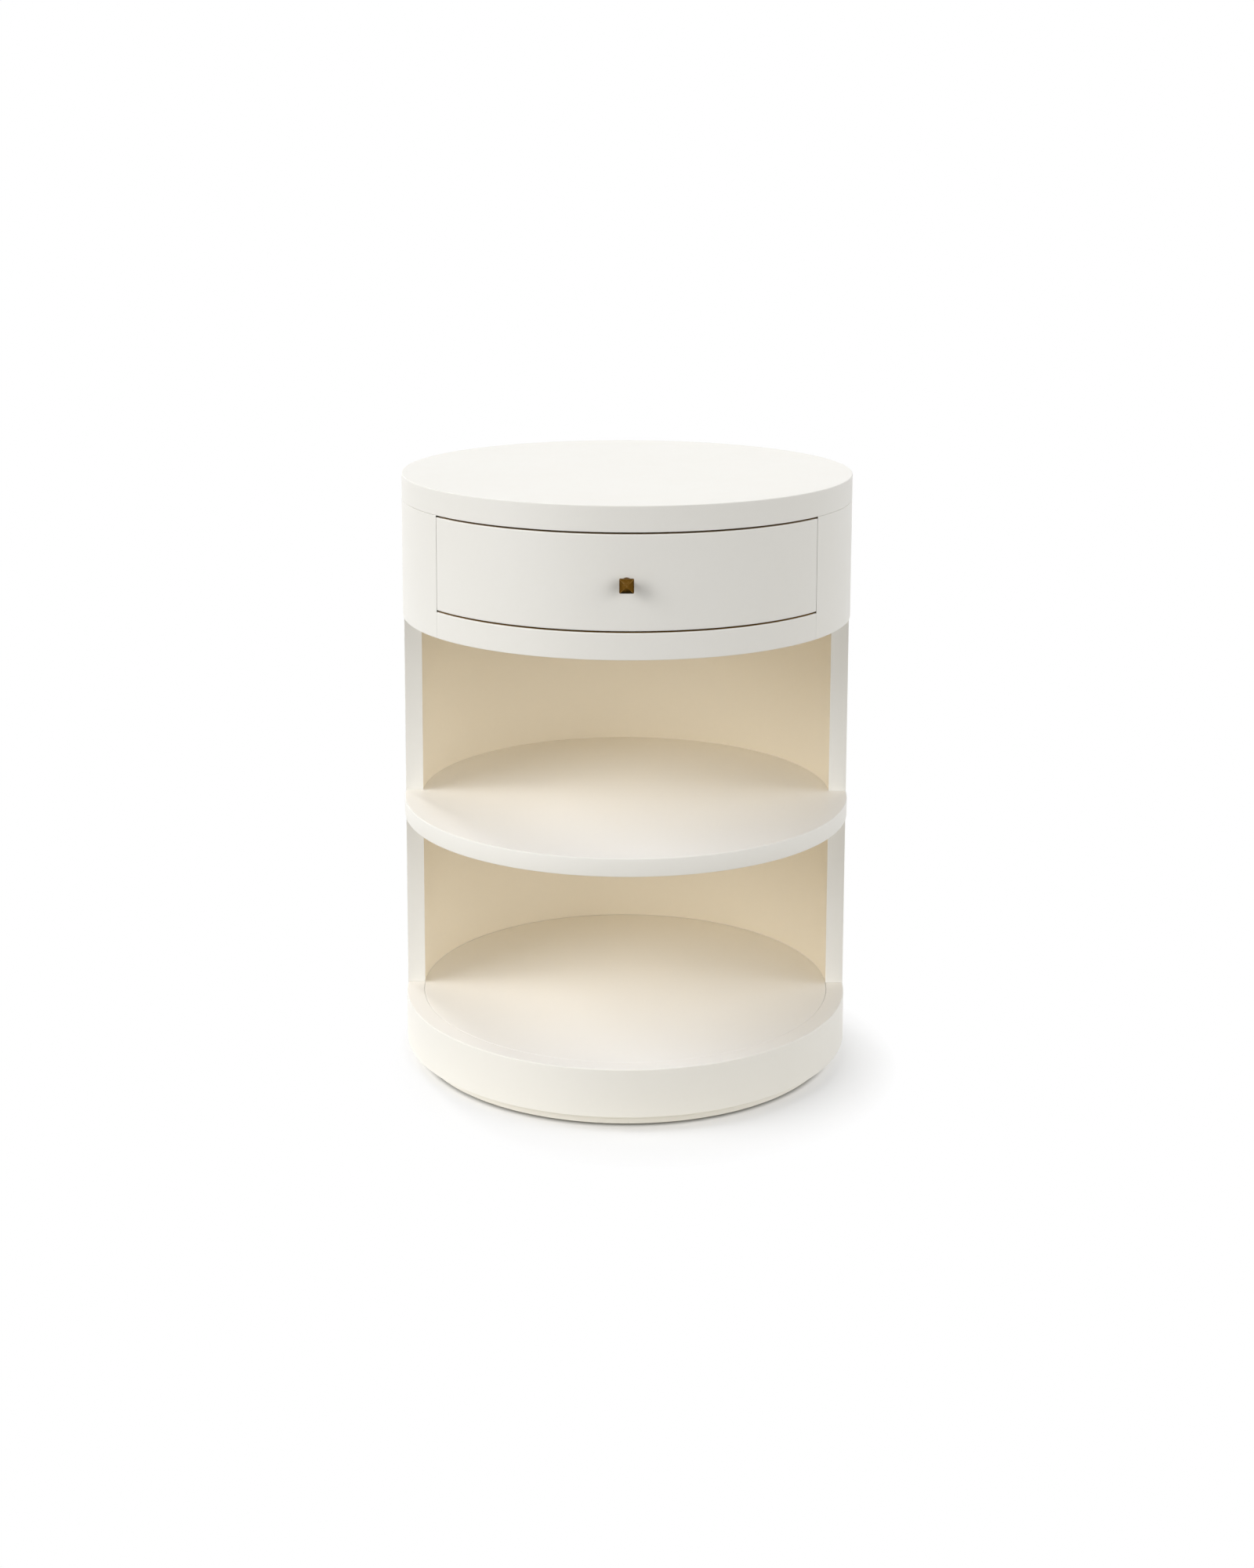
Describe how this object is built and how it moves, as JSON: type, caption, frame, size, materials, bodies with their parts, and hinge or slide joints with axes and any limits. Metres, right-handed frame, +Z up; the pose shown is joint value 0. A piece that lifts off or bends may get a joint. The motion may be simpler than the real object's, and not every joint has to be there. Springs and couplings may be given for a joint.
{
  "type": "nightstand",
  "caption": "Round lacquered nightstand with a flush curved drawer on slides over two open compartments and a half-round back shell.",
  "frame": {"origin": "centre of the round base on the floor, under the drum's axis, on the middle felt pad", "axes": "+Z up along the drum's axis, -Y towards the drawer front, +X to the right as seen from the front"},
  "size_m": [0.508, 0.5285, 0.675],
  "materials": {
    "white_lacquer": "satin off-white lacquer on board",
    "birch": "clear sealed birch",
    "zinc_steel": "zinc plated",
    "antique_brass": "aged brass, brushed",
    "felt": "pressed felt"
  },
  "bodies": {
    "cabinet": {"back_shell": "white_lacquer", "base_panel": "white_lacquer", "base_ring": "white_lacquer", "drawer_rail": "white_lacquer", "drum_floor": "white_lacquer", "floor_pad_1": "felt", "floor_pad_2": "felt", "floor_pad_3": "felt", "floor_pad_4": "felt", "floor_pad_center": "felt", "left_cabinet_slide": "zinc_steel", "left_cheek": "birch", "left_front_cabinet_slide_screw": "zinc_steel", "left_front_top_screw": "zinc_steel", "left_lower_stile_dowel": "birch", "left_rear_cabinet_slide_screw": "zinc_steel", "left_rear_top_screw": "zinc_steel", "left_stile": "white_lacquer", "left_top_cleat": "birch", "left_upper_stile_dowel": "birch", "middle_shelf": "white_lacquer", "plinth_screw_1": "zinc_steel", "plinth_screw_2": "zinc_steel", "plinth_screw_3": "zinc_steel", "plinth_screw_4": "zinc_steel", "right_cabinet_slide": "zinc_steel", "right_cheek": "birch", "right_front_cabinet_slide_screw": "zinc_steel", "right_front_top_screw": "zinc_steel", "right_lower_stile_dowel": "birch", "right_rear_cabinet_slide_screw": "zinc_steel", "right_rear_top_screw": "zinc_steel", "right_stile": "white_lacquer", "right_top_cleat": "birch", "right_upper_stile_dowel": "birch", "toe_plinth": "white_lacquer", "top_panel": "white_lacquer"},
    "drawer": {"drawer_back": "birch", "drawer_bottom": "birch", "drawer_front": "white_lacquer", "drawer_left_side": "birch", "drawer_right_side": "birch", "knob": "antique_brass", "knob_screw": "zinc_steel", "left_bottom_screw": "zinc_steel", "left_drawer_slide": "zinc_steel", "left_front_drawer_slide_screw": "zinc_steel", "left_rear_drawer_slide_screw": "zinc_steel", "right_bottom_screw": "zinc_steel", "right_drawer_slide": "zinc_steel", "right_front_drawer_slide_screw": "zinc_steel", "right_rear_drawer_slide_screw": "zinc_steel"},
    "left_middle_slide": {"left_middle_slide": "zinc_steel"},
    "right_middle_slide": {"right_middle_slide": "zinc_steel"}
  },
  "joints": [
    {"name": "drawer_slide", "type": "slide", "parent": "cabinet", "child": "drawer", "axis": [0, -1, 0], "range_m": [0, 0.24]},
    {"name": "left_middle_travel", "type": "slide", "parent": "cabinet", "child": "left_middle_slide", "axis": [0, -1, 0], "range_m": [0, 0.12]},
    {"name": "right_middle_travel", "type": "slide", "parent": "cabinet", "child": "right_middle_slide", "axis": [0, -1, 0], "range_m": [0, 0.12]}
  ],
  "couplings": [
    {"joint": "left_middle_travel", "follows": "drawer_slide", "ratio": 0.5},
    {"joint": "right_middle_travel", "follows": "drawer_slide", "ratio": 0.5}
  ]
}
